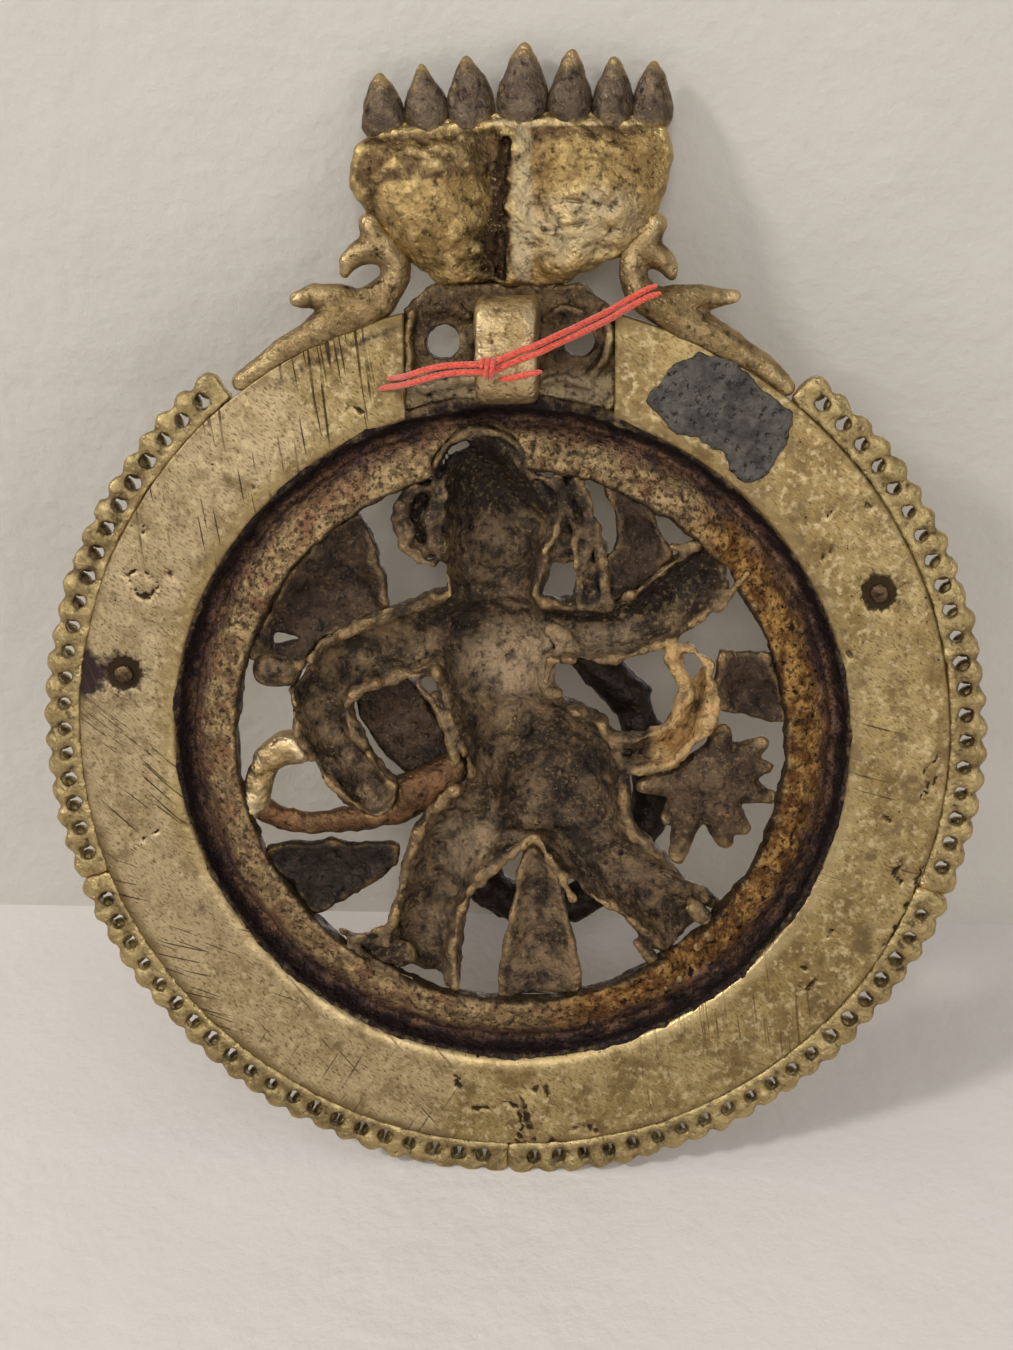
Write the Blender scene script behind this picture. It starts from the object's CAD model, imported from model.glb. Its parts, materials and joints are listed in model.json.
"""Looks for a hollow-backed brass plaque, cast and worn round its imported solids.

Millimetres are used for every shape, measured from the middle of the ring and
from the flat plate's back: x runs to the right, y into the relief and z up.
"""

import functools
import itertools
import json
import math

import bpy
import numpy as np
import openvdb
from bpy.props import (
    FloatProperty, FloatVectorProperty, IntProperty, PointerProperty,
)
from bpy.types import Operator, Panel, PropertyGroup
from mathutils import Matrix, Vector


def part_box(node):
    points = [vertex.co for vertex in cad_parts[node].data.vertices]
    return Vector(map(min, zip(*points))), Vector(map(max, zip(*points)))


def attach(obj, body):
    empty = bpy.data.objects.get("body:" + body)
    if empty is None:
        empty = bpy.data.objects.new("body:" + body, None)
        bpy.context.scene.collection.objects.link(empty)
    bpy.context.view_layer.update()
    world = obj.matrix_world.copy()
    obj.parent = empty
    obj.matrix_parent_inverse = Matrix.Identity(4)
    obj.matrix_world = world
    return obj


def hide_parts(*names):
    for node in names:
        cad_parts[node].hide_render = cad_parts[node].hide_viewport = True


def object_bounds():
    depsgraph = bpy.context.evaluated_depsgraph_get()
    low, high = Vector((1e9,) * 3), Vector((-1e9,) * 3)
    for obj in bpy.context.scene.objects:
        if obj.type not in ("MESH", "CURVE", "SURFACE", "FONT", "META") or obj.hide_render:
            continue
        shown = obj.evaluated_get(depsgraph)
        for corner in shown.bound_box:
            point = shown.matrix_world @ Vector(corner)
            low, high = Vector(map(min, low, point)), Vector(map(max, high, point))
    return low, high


bl_info = {
    "name": "Brass Plaque Looks",
    "version": (1, 0, 0),
    "blender": (4, 5, 0),
    "location": "3D View > Sidebar > Plaque",
    "description": "Casts, wears and lights a hollow-backed brass plaque",
    "category": "Object",
}

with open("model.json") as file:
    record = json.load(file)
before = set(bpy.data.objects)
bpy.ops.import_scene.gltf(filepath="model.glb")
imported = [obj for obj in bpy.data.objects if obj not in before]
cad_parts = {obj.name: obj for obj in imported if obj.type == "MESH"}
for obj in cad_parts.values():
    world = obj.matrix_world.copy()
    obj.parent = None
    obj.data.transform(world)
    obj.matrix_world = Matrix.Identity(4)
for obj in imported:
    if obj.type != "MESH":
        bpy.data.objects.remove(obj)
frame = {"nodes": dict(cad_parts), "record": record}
CAD_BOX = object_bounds()

# ------------------------------------------------------------------ measures

MM = 0.001
PLATE_LOW, PLATE_HIGH = (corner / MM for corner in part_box("ring_plate"))
MOULDING_LOW, MOULDING_HIGH = (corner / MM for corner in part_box("inner_moulding"))
BRIDGE_LOW, BRIDGE_HIGH = (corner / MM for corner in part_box("bridge"))
PLATE_R = (PLATE_HIGH.x - PLATE_LOW.x) / 2
PLATE_T = PLATE_HIGH.y - PLATE_LOW.y
SEAT_R = (MOULDING_HIGH.x - MOULDING_LOW.x) / 2
BRIDGE_W = BRIDGE_HIGH.x - BRIDGE_LOW.x
RING = np.array([(PLATE_LOW.x + PLATE_HIGH.x) / 2, PLATE_LOW.y, PLATE_LOW.z + PLATE_R])

COBRAS = [f"cobra_head_{k}" for k in range(1, 8)]
FIGURE = ["torso", "hips", "head", "side_bun", "hair_lock", "arm_left", "arm_right",
          "crescent_arm", "leg_left", "leg_right"]

FAR = 3.0                     # distances are only kept this close to the metal
CRUMB = 400                   # loose bits of skin with fewer corners than this are dropped
WORN = 0.9                    # the blurred distance at which an edge is rubbed bright
GRIMY = 0.5                   # and, below zero, at which a hollow is full of grime


def in_ring(node):
    """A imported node's lowest and highest corners, measured from the ring."""
    low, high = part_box(node)
    return np.array(low) / MM - RING, np.array(high) / MM - RING


# ----------------------------------------------------------------- mesh code

def make_piece(name, points, faces, finish, shades=None):
    """A smooth mesh object from points in millimetres round the ring; it rides on the plaque."""
    mesh = bpy.data.meshes.new(name)
    mesh.from_pydata(((np.asarray(points) + RING) * MM).tolist(), [], faces)
    mesh.update()
    mesh.polygons.foreach_set("use_smooth", [True] * len(mesh.polygons))
    for label, values in (shades or {}).items():
        layer = mesh.attributes.new(label, "FLOAT", "POINT")
        layer.data.foreach_set("value", np.asarray(values, np.float32))
    mesh.materials.append(finish)
    piece = bpy.data.objects.new(name, mesh)
    bpy.context.scene.collection.objects.link(piece)
    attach(piece, "root")
    return piece


CHANCES = np.random.default_rng(11).uniform(-1, 1, 4096).astype(np.float32)


def grain(x, y, z, size, seed=0):
    """Smooth noise from -1 to 1 at any places, with lumps this many millimetres across."""
    cells, shares = [], []
    for v in (x, y, z):
        scaled = np.asarray(v, np.float32) / size + 1000
        cell = np.floor(scaled)
        part = scaled - cell
        cells.append(cell.astype(np.int64))
        shares.append(part * part * (3 - 2 * part))
    total = 0
    for corner in itertools.product((0, 1), repeat=3):
        key = seed * 7919
        weight = 1
        for k, cell, share, prime in zip(corner, cells, shares, (73856093, 19349663, 83492791)):
            key = key ^ ((cell + k) * prime)
            weight = weight * (share if k else 1 - share)
        total = total + weight * CHANCES[(key ^ (key >> 13)) & 4095]
    return total


def rough(x, y, z, size, seed=0, levels=3):
    """Noise with finer and finer lumps on it, as on a casting's skin."""
    return sum(grain(x, y, z, size / 2 ** k, seed + k) / 2 ** k for k in range(levels))


def ease(v, low, high):
    """0 below low, 1 above high, and smooth between them."""
    t = np.clip((v - low) / (high - low), 0, 1)
    return t * t * (3 - 2 * t)


class Casting:
    """A block of distances in millimetres: below zero in the metal, above zero outside."""

    def __init__(self, nodes, step, margin=2.5):
        self.nodes = nodes
        self.step = step
        boxes = [in_ring(n) for n in nodes]
        low = np.min([b[0] for b in boxes], axis=0) - margin
        high = np.max([b[1] for b in boxes], axis=0) + margin
        self.low = np.floor(low / step) * step
        self.size = np.ceil((high - self.low) / step).astype(int) + 1
        self.x, self.y, self.z = (
            (self.low[a] + step * np.arange(self.size[a])).reshape(
                [-1 if a == b else 1 for b in range(3)]) for a in range(3))
        self.metal = np.full(self.size, FAR, np.float32)
        for n in nodes:
            self.add(self.node_field(n))

    def node_field(self, node):
        """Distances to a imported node's own solid."""
        mesh = frame["nodes"][node].data
        mesh.calc_loop_triangles()
        points = np.empty(len(mesh.vertices) * 3, np.float32)
        mesh.vertices.foreach_get("co", points)
        corners = np.empty(len(mesh.loop_triangles) * 3, np.int32)
        mesh.loop_triangles.foreach_get("vertices", corners)
        placed = (points.reshape(-1, 3) / MM - RING - self.low) / self.step
        grid = openvdb.FloatGrid.createLevelSetFromPolygons(
            placed.astype(np.float32), triangles=corners.reshape(-1, 3).astype(np.uint32),
            transform=openvdb.createLinearTransform(1.0), halfWidth=FAR / self.step)
        block = np.full(self.size, FAR / self.step, np.float32)
        grid.copyToArray(block)
        return block * self.step

    def add(self, field):
        self.metal = np.minimum(self.metal, field)

    def cut(self, field):
        self.metal = np.maximum(self.metal, -field)

    def grow(self, thickness):
        """Thickens every wall a little, so that softening doesn't eat thin ones."""
        self.metal = self.metal - thickness

    def gnarl(self, size, height, seed, where=1.0):
        """Thickens and thins the metal in lumps of this size."""
        self.metal = self.metal + height * where * rough(self.x, self.y, self.z, size, seed, 2)

    def warp(self, size, reach, seed):
        """Pushes the outline about in the ring's plane, which makes clean edges ragged."""
        shift = [np.rint(reach * rough(self.x, 0, self.z, size, seed + k) / self.step).astype(int)
                 for k in (0, 9)]
        i = np.clip(np.arange(self.size[0]).reshape(-1, 1, 1) + shift[0], 0, self.size[0] - 1)
        k = np.clip(np.arange(self.size[2]).reshape(1, 1, -1) + shift[1], 0, self.size[2] - 1)
        self.metal = self.metal[i, np.arange(self.size[1]).reshape(1, -1, 1), k]

    def drill(self, centre, radius):
        """Cuts a round hole from back to front, round a middle given as (x, z)."""
        part, x, _, z = self.nearby((centre[0], self.low[1], centre[1]), radius + FAR)
        part = (part[0], slice(None), part[2])
        away = np.hypot(x - centre[0], z - centre[1]) - radius
        self.metal[part] = np.maximum(self.metal[part], -away)

    def blurred(self, radius):
        """The distances, blurred this far."""
        field = self.metal
        reach = int(math.ceil(2.4 * radius / self.step))
        steps = np.arange(-reach, reach + 1)
        weights = np.exp(-0.5 * (steps * self.step / radius) ** 2)
        weights /= weights.sum()
        for axis in range(3):
            field = sum(w * np.roll(field, s, axis) for w, s in zip(weights, steps))
        return field.astype(np.float32)

    def soften(self, radius):
        """Rounds edges off and lets neighbours flow together."""
        self.metal = self.blurred(radius)

    def nearby(self, centre, reach):
        """The part of the block round a place, as slices and its own x, y and z."""
        first = np.maximum(((np.array(centre) - reach - self.low) / self.step).astype(int), 0)
        last = np.minimum(((np.array(centre) + reach - self.low) / self.step).astype(int) + 2,
                          self.size)
        part = tuple(slice(a, max(b, a)) for a, b in zip(first, last))
        return part, self.x[part[0]], self.y[:, part[1]], self.z[:, :, part[2]]

    def ball(self, centre, radius, flat=1.0):
        """The part of the block round a ball flattened from back to front, and distances to it."""
        part, x, y, z = self.nearby(centre, radius + 1)
        away = np.sqrt((x - centre[0]) ** 2 + ((y - centre[1]) / flat) ** 2
                       + (z - centre[2]) ** 2) - radius
        return part, away * flat

    def lump(self, centre, radius, flat=1.0):
        """Adds a ball of metal."""
        part, away = self.ball(centre, radius, flat)
        self.metal[part] = np.minimum(self.metal[part], away)

    def pit(self, centre, radius):
        """Sinks a round hollow."""
        part, away = self.ball(centre, radius)
        self.metal[part] = np.maximum(self.metal[part], -away)

    def strand(self, points, radius, sunk=False, flat=1.0):
        """Adds, or sinks, a rounded run of metal along places given as (x, y, z)."""
        for a, b in zip(points[:-1], points[1:]):
            a, b = np.array(a, float), np.array(b, float)
            part, x, y, z = self.nearby((a + b) / 2, np.abs(b - a).max() / 2 + radius + 1)
            along = b - a
            t = np.clip(((x - a[0]) * along[0] + (y - a[1]) * along[1] + (z - a[2]) * along[2])
                        / max(along @ along, 1e-6), 0, 1)
            away = np.sqrt((x - a[0] - t * along[0]) ** 2
                           + ((y - a[1] - t * along[1]) / flat) ** 2
                           + (z - a[2] - t * along[2]) ** 2) - radius
            self.metal[part] = (np.maximum(self.metal[part], -away) if sunk
                                else np.minimum(self.metal[part], away))

    def rag(self, edge, height, size, seed):
        """Breaks the back rims off unevenly, in front of the depth called edge."""
        torn = edge + height * (0.5 + 0.5 * rough(self.x, 0, self.z, size, seed))
        self.metal = np.maximum(self.metal, torn - self.y)

    def sample(self, field, points):
        """A field's values at places in the block's own steps."""
        base = np.clip(np.floor(points).astype(int), 0, self.size - 2)
        part = points - base
        total = 0
        for corner in itertools.product((0, 1), repeat=3):
            weight = np.prod([part[:, a] if k else 1 - part[:, a]
                              for a, k in enumerate(corner)], axis=0)
            total = total + weight * field[tuple(base[:, a] + corner[a] for a in range(3))]
        return total

    def pour(self, name, finish, skin=((3, 0.25), (1, 0.12)), stands_for=None, seed=0,
             notes=None):
        """Skins the block as one closed mesh, roughens it and notes its worn and grimy places.

        Each of the notes is worked out from the mesh's x, y and z, for its finish to read.
        """
        grid = openvdb.FloatGrid(FAR)
        grid.copyFromArray(self.metal)
        steps, triangles, quads = grid.convertToPolygons(isovalue=0.0, adaptivity=0.0)
        steps, triangles, quads = without_crumbs(steps, triangles, quads)
        points = steps.astype(float) * self.step + self.low
        faces = [tuple(f) for f in quads.tolist()] + [tuple(f) for f in triangles.tolist()]
        if signed_volume(points, quads, triangles) < 0:
            faces = [f[::-1] for f in faces]
        edges = self.sample(self.blurred(1.3), steps)
        shades = {"worn": np.clip(edges / WORN, 0, 1), "grime": np.clip(-edges / GRIMY, 0, 1)}
        for label, found in (notes or {}).items():
            shades[label] = found(*points.T)
        piece = make_piece(name, points, faces, finish, shades)
        for k, (size, height) in enumerate(skin):
            displace(piece, points, size, height, seed + 31 * k)
        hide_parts(*(stands_for or self.nodes))
        return piece


def without_crumbs(steps, triangles, quads):
    """Drops loose crumbs from a skin, by giving all joined corners the same group number."""
    group = np.arange(len(steps))
    edges = np.vstack([f[:, [a, b]] for f, n in ((quads, 4), (triangles, 3)) if len(f)
                       for a, b in zip(range(n), [*range(1, n), 0])])
    while True:
        low = np.minimum(group[edges[:, 0]], group[edges[:, 1]])
        found = group.copy()
        for side in (0, 1):
            np.minimum.at(found, group[edges[:, side]], low)
        found = found[group]
        found = found[found]
        if (found == group).all():
            break
        group = found
    kept = np.bincount(group, minlength=len(steps))[group] >= CRUMB
    new = np.cumsum(kept) - 1
    return (steps[kept], *(new[f[kept[f[:, 0]]]] if len(f) else f for f in (triangles, quads)))


def near_line(x, z, places):
    """How far points lie from a line through places given as (x, z)."""
    best = np.full(np.broadcast(x, z).shape, 99.0)
    for (ax, az), (bx, bz) in zip(places[:-1], places[1:]):
        along = (bx - ax) ** 2 + (bz - az) ** 2
        t = np.clip(((x - ax) * (bx - ax) + (z - az) * (bz - az)) / along, 0, 1)
        best = np.minimum(best, np.hypot(x - ax - t * (bx - ax), z - az - t * (bz - az)))
    return best


def signed_volume(points, quads, triangles):
    """Positive where a closed mesh's faces point outwards."""
    corners = [quads[:, [0, 1, 2]], quads[:, [0, 2, 3]], triangles]
    return sum(np.einsum("ij,ij->", points[c[:, 0]], np.cross(points[c[:, 1]], points[c[:, 2]]))
               for c in corners if len(c))


def displace(piece, points, size, height, seed):
    """Moves a piece's points in and out by noise, along its own normals."""
    mesh = piece.data
    normals = np.empty(len(mesh.vertices) * 3, np.float32)
    mesh.vertex_normals.foreach_get("vector", normals)
    here = np.empty(len(mesh.vertices) * 3, np.float32)
    mesh.vertices.foreach_get("co", here)
    lift = height * rough(points[:, 0], points[:, 1], points[:, 2], size, seed, 2) * MM
    moved = here.reshape(-1, 3) + normals.reshape(-1, 3) * lift[:, None]
    mesh.vertices.foreach_set("co", moved.astype(np.float32).ravel())
    mesh.update()


def skin_over(rings):
    """Points and faces of a skin over closed profiles, capped at its ends: rings[i][j] is a place."""
    count, around = len(rings), len(rings[0])
    points = [p for ring in rings for p in ring]
    faces = []
    for i in range(count - 1):
        a, b = i * around, (i + 1) * around
        for j in range(around):
            k = (j + 1) % around
            faces.append((a + j, a + k, b + k, b + j))
    faces.append(tuple(range(around))[::-1])
    faces.append(tuple((count - 1) * around + j for j in range(around)))
    return np.array(points), faces


# ------------------------------------------------------------------ finishes

def shade(code):
    """A colour written as rrggbb, as the renderer wants it."""
    parts = [int(code[k:k + 2], 16) / 255 for k in (0, 2, 4)]
    return [c / 12.92 if c <= 0.04045 else ((c + 0.055) / 1.055) ** 2.4 for c in parts] + [1]


class Finish:
    """One material, with short ways to add noise, colour and relief to it."""

    def __init__(self, name, metallic=1.0, roughness=0.4):
        self.material = bpy.data.materials.new(name)
        self.material.use_nodes = True
        self.tree = self.material.node_tree
        self.shader = self.tree.nodes["Principled BSDF"]
        self.shader.inputs["Metallic"].default_value = metallic
        self.shader.inputs["Roughness"].default_value = roughness
        self.place = self.tree.nodes.new("ShaderNodeTexCoord").outputs["Object"]
        self.relief = None

    def put(self, node, key, value):
        """Joins an output to an input, or writes a colour or a plain value in it."""
        if isinstance(value, bpy.types.NodeSocket):
            self.tree.links.new(value, node.inputs[key])
        elif isinstance(value, str):
            node.inputs[key].default_value = shade(value)
        else:
            node.inputs[key].default_value = value

    def mapped(self, size, stretch, turn, shift):
        """Places on the piece, measured in lumps of this many millimetres and turned."""
        mapping = self.tree.nodes.new("ShaderNodeMapping")
        turned = self.tree.nodes.new("ShaderNodeMapping")
        self.put(turned, "Vector", self.place)
        self.put(turned, "Rotation", (0, math.radians(turn), 0))
        self.put(mapping, "Vector", turned.outputs[0])
        self.put(mapping, "Scale", [1 / (size * s * MM) for s in stretch])
        self.put(mapping, "Location", (shift * 7.3, shift * 3.1, shift * 5.7))
        return mapping.outputs[0]

    def spots(self, size, detail=3.0, stretch=(1, 1, 1), turn=0, shift=0):
        """Cloudy noise about this many millimetres across."""
        noise = self.tree.nodes.new("ShaderNodeTexNoise")
        self.put(noise, "Vector", self.mapped(size, stretch, turn, shift))
        self.put(noise, "Scale", 1.0)
        self.put(noise, "Detail", detail)
        self.put(noise, "Roughness", 0.6)
        return noise.outputs[0]

    def cells(self, size):
        """Distance from the middles of scattered cells, for pits."""
        found = self.tree.nodes.new("ShaderNodeTexVoronoi")
        self.put(found, "Vector", self.mapped(size, (1, 1, 1), 0, 0))
        self.put(found, "Scale", 1.0)
        return found.outputs["Distance"]

    def strokes(self, width, length, turn, shift, thick=0.12):
        """Scattered straight strokes of one width and length, turned in the ring's plane."""
        split = self.tree.nodes.new("ShaderNodeSeparateXYZ")
        self.put(split, 0, self.mapped(1, (width, 1, length), turn, shift))
        flat = self.tree.nodes.new("ShaderNodeCombineXYZ")
        self.put(flat, 0, split.outputs[0])
        self.put(flat, 1, split.outputs[2])
        found = self.tree.nodes.new("ShaderNodeTexVoronoi")
        found.voronoi_dimensions = "2D"
        self.put(found, "Vector", flat.outputs[0])
        self.put(found, "Scale", 1.0)
        return self.between(found.outputs["Distance"], thick, thick * 0.45)

    def note(self, label):
        """A shade noted on the mesh, such as its worn places."""
        node = self.tree.nodes.new("ShaderNodeAttribute")
        node.attribute_name = label
        return node.outputs["Fac"]

    def between(self, value, low, high):
        """0 where a value is below low and 1 where it is above high."""
        node = self.tree.nodes.new("ShaderNodeMapRange")
        node.interpolation_type = "SMOOTHSTEP"
        self.put(node, "Value", value)
        self.put(node, "From Min", low)
        self.put(node, "From Max", high)
        return node.outputs[0]

    def maths(self, operation, a, b):
        node = self.tree.nodes.new("ShaderNodeMath")
        node.operation = operation
        self.put(node, 0, a)
        self.put(node, 1, b)
        return node.outputs[0]

    def plus(self, a, b):
        return self.maths("ADD", a, b)

    def times(self, a, b):
        return self.maths("MULTIPLY", a, b)

    def scale(self, value, low, high):
        """Stretches a share to run from low to high."""
        return self.plus(self.times(value, high - low), low)

    def patches(self, size, low, high, detail=4.0, shift=0):
        """1 in cloudy patches of this size, where their noise is above high, and 0 below low."""
        return self.between(self.spots(size, detail, shift=shift), low, high)

    def frayed(self, label, size, spread, detail=4.0, shift=0):
        """A note on the mesh, made uneven by cloudy noise of this size."""
        return self.plus(self.note(label),
                         self.scale(self.spots(size, detail, shift=shift), -spread, spread))

    def mix(self, share, a, b):
        """Colour a where share is 0 and colour b where it is 1."""
        node = self.tree.nodes.new("ShaderNodeMix")
        node.data_type = "RGBA"
        self.put(node, 0, share)
        self.put(node, 6, a)
        self.put(node, 7, b)
        return node.outputs[2]

    def layered(self, colour, *layers):
        """A colour with others over it, each of them laid where its mask is 1."""
        for mask, tint in layers:
            colour = self.mix(mask, colour, tint)
        return colour

    def raise_by(self, height, depth):
        """Adds relief, this many millimetres deep."""
        node = self.tree.nodes.new("ShaderNodeBump")
        self.put(node, "Strength", 1.0)
        self.put(node, "Distance", depth * MM)
        self.put(node, "Height", height)
        if self.relief:
            self.put(node, "Normal", self.relief)
        self.relief = node.outputs[0]

    def done(self, colour, roughness=None, metallic=None):
        """Joins everything to the shader and gives the finished material."""
        for key, value in (("Base Color", colour), ("Roughness", roughness),
                           ("Metallic", metallic), ("Normal", self.relief)):
            if value is not None:
                self.put(self.shader, key, value)
        return self.material


def cast_finish(name, body, other, deep, bright, dull=0.62, sheen=0.36, metal=0.75,
                wear=(0.25, 0.8), blotch=7.0, crust=0.0, tints=()):
    """Cast brass: mottled skin, dirt in its hollows, bright metal where it is rubbed.

    Each tint is a note on the mesh and the colour that the skin turns there. Crust is
    how much pale and dark grit has stuck to a rough inside.
    """
    f = Finish(name)
    fine = f.spots(0.7, 4)
    colour = f.mix(f.patches(blotch, 0.38, 0.62), body, other)
    for label, tint in tints:
        colour = f.mix(f.between(f.frayed(label, 3, 0.35, shift=9), 0.2, 0.8), colour, tint)
    dirt = f.between(f.plus(f.note("grime"), f.scale(fine, -0.35, 0.35)), 0.15, 0.8)
    colour = f.layered(colour, (f.patches(1.6, 0.5, 0.72, shift=2), deep), (dirt, deep))
    if crust:
        grit = f.times(f.patches(0.9, 0.5, 0.66, 6, shift=22), f.patches(6, 0.4, 0.58, shift=21))
        grit = f.times(grit, f.scale(f.note("dusty"), 0.45 * crust, 0.9 * crust))
        burnt = f.times(f.patches(3.4, 0.5, 0.66, 6, shift=23), 0.7 * crust)
        colour = f.layered(colour, (grit, bright), (burnt, deep))
        f.raise_by(f.spots(1.3, 5, shift=24), 0.55 * crust)
    rubbed = f.between(f.frayed("worn", 2.2, 0.45, shift=5), *wear)
    dust = f.times(f.patches(0.55, 0.62, 0.72, 3, shift=11), 0.5)
    colour = f.layered(colour, (rubbed, bright), (dust, bright))
    f.raise_by(fine, 0.25)
    f.raise_by(f.spots(2.4, 3, shift=1), 0.35)
    f.raise_by(f.between(f.cells(1.5), 0.08, 0.3), 0.12)
    return f.done(colour, f.scale(rubbed, dull, sheen), f.scale(rubbed, metal, 1.0))


# Where the plate's file strokes run: a note on it, their turn, width and length
STROKES = (
    ("upright_strokes", 6, 1.9, 70), ("upright_strokes", 9, 1.1, 34),
    ("leaning_strokes", 47, 1.3, 60), ("leaning_strokes", 52, 0.9, 34),
    ("low_strokes", 78, 1.3, 60), ("low_strokes", 70, 0.9, 36),
    ("level_strokes", 76, 1.4, 40), ("cross_strokes", -32, 1.1, 36),
    ("cross_strokes", 40, 1.4, 50))


def plate_finish():
    """Filed flat brass: file strokes in several directions, pits, stains and a rubbed edge."""
    f = Finish("filed_brass", metallic=0.85)
    pale = f.between(f.frayed("pale", 6, 0.3, 5), 0.2, 1.1)
    mottled = f.times(f.patches(4, 0.42, 0.66, 7, shift=3), f.scale(f.note("pale"), 0.9, 0.5))
    brushed = f.between(f.spots(0.6, 5, stretch=(1.6, 1.6, 0.6), turn=-38, shift=13), 0.48, 0.7)
    glints = f.times(f.patches(1.2, 0.5, 0.68, 6, shift=15), 0.75)
    clouds = f.patches(7, 0.56, 0.72, 5, shift=16)
    brown = f.between(f.frayed("patina", 4, 0.45, 5, shift=4), 0.4, 1.0)
    stain = f.between(f.frayed("stain", 1.4, 0.6, 6, shift=5), 0.3, 0.75)
    faint = f.between(f.spots(1, 2, stretch=(0.25, 2, 9), turn=20), 0.6, 0.72)
    scores = 0.0
    for mask, turn, width, length in STROKES:
        lines = f.times(f.strokes(width, length, turn, turn / 10), f.note(mask))
        scores = f.maths("MAXIMUM", lines, scores)
    scores = f.times(f.times(scores, f.patches(11, 0.42, 0.56, 3, shift=17)), 0.85)
    pits = f.maths("MAXIMUM", scores, f.patches(1.0, 0.72, 0.76, 2, shift=2))
    dark = f.maths("MAXIMUM", pits, f.between(f.frayed("marks", 0.9, 0.4), 0.4, 0.9))
    gold = f.times(f.note("band"), f.patches(5, 0.2, 0.6, 3, shift=8))
    colour = f.layered(
        f.mix(f.patches(14, 0.36, 0.64, 5), "B09A6A", "9A8354"),
        (pale, "BAA47E"), (mottled, "76603C"), (brushed, "6A5432"), (glints, "C8B48A"),
        (clouds, "6E5A3C"), (brown, "77633F"), (stain, "3A2D2C"),
        (f.times(faint, 0.3), "75613C"), (dark, "3B2D1D"), (f.times(gold, 0.8), "BFA777"))
    f.raise_by(f.spots(9, 2, shift=7), 0.35)
    f.raise_by(f.spots(1.2, 4), 0.08)
    f.raise_by(f.spots(0.5, 3, shift=14), 0.04)
    f.raise_by(dark, -0.16)
    dull = f.plus(f.scale(f.spots(2.5, 4, shift=6), 0.4, 0.6), f.times(dark, 0.2))
    return f.done(colour, f.maths("SUBTRACT", dull, f.times(gold, 0.16)))


def trough_finish():
    """The moulding's trough: a dark outer groove, a red-brown middle, a yellow rough inside."""
    f = Finish("trough_brass")
    across = f.frayed("across", 4, 0.2, 5)
    ruddy = f.times(f.patches(5, 0.48, 0.64, 6, shift=31), 0.75)
    inner = f.layered(f.mix(f.patches(2, 0.35, 0.65, shift=1), "AE9468", "6E583E"),
                      (ruddy, "7C553C"))
    golden = f.mix(f.patches(2.4, 0.35, 0.6, shift=6), "A98148", "64411F")
    inner = f.mix(f.between(f.frayed("right", 5, 0.2), 0.3, 0.8), inner, golden)
    middle = f.mix(f.patches(3.5, 0.4, 0.65, shift=2), "7A5B44", "4A3733")
    speck = f.patches(0.9, 0.52, 0.64, 5, shift=3)
    bark = f.times(f.patches(1.6, 0.57, 0.66, 5, shift=8), f.scale(f.note("right"), 0.5, 1.0))
    rubbed = f.between(f.frayed("worn", 1.5, 0.4), 0.5, 1.05)
    side = f.between(f.frayed("across", 1.5, 0.04), 0.07, 0.0)
    colour = f.layered(
        inner, (f.between(across, 0.38, 0.6), middle), (f.between(across, 0.62, 0.8), "241A1A"),
        (f.times(speck, 0.85), "37281B"),
        (f.times(bark, f.between(across, 0.75, 0.5)), "1F150E"),
        (rubbed, "AC9468"), (f.times(side, 0.85), "2E2117"))
    f.raise_by(f.spots(0.8, 5), 0.4)
    f.raise_by(speck, -0.12)
    f.raise_by(bark, -0.3)
    f.raise_by(f.spots(2.6, 3, shift=2), 0.45)
    f.raise_by(f.between(f.cells(1.3), 0.08, 0.3), 0.15)
    return f.done(colour, f.scale(rubbed, 0.55, 0.36), f.scale(rubbed, 0.75, 1.0))


def solder_finish():
    """Dull grey solder, pitted and scraped."""
    f = Finish("grey_solder", metallic=0.75)
    colour = f.layered(f.mix(f.patches(3, 0.35, 0.65, 5), "5A554E", "3E3A36"),
                       (f.patches(0.9, 0.56, 0.68, shift=1), "24211F"))
    f.raise_by(f.spots(0.9, 4), 0.3)
    f.raise_by(f.between(f.cells(1.8), 0.06, 0.28), 0.25)
    return f.done(colour, f.scale(f.spots(2, 3, shift=2), 0.4, 0.7))


def thread_finish():
    """Red cotton with pale and dark fibres running along the twist."""
    f = Finish("red_cotton", metallic=0.0, roughness=0.85)
    fibres = f.spots(0.18, 3, stretch=(3, 1, 1), turn=-20)
    colour = f.layered(f.mix(f.between(fibres, 0.35, 0.65), "B8301F", "EE6A50"),
                       (f.patches(3, 0.55, 0.8, 3), "D8452F"))
    f.raise_by(fibres, 0.06)
    f.shader.inputs["Sheen Weight"].default_value = 0.4
    return f.done(colour)


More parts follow.
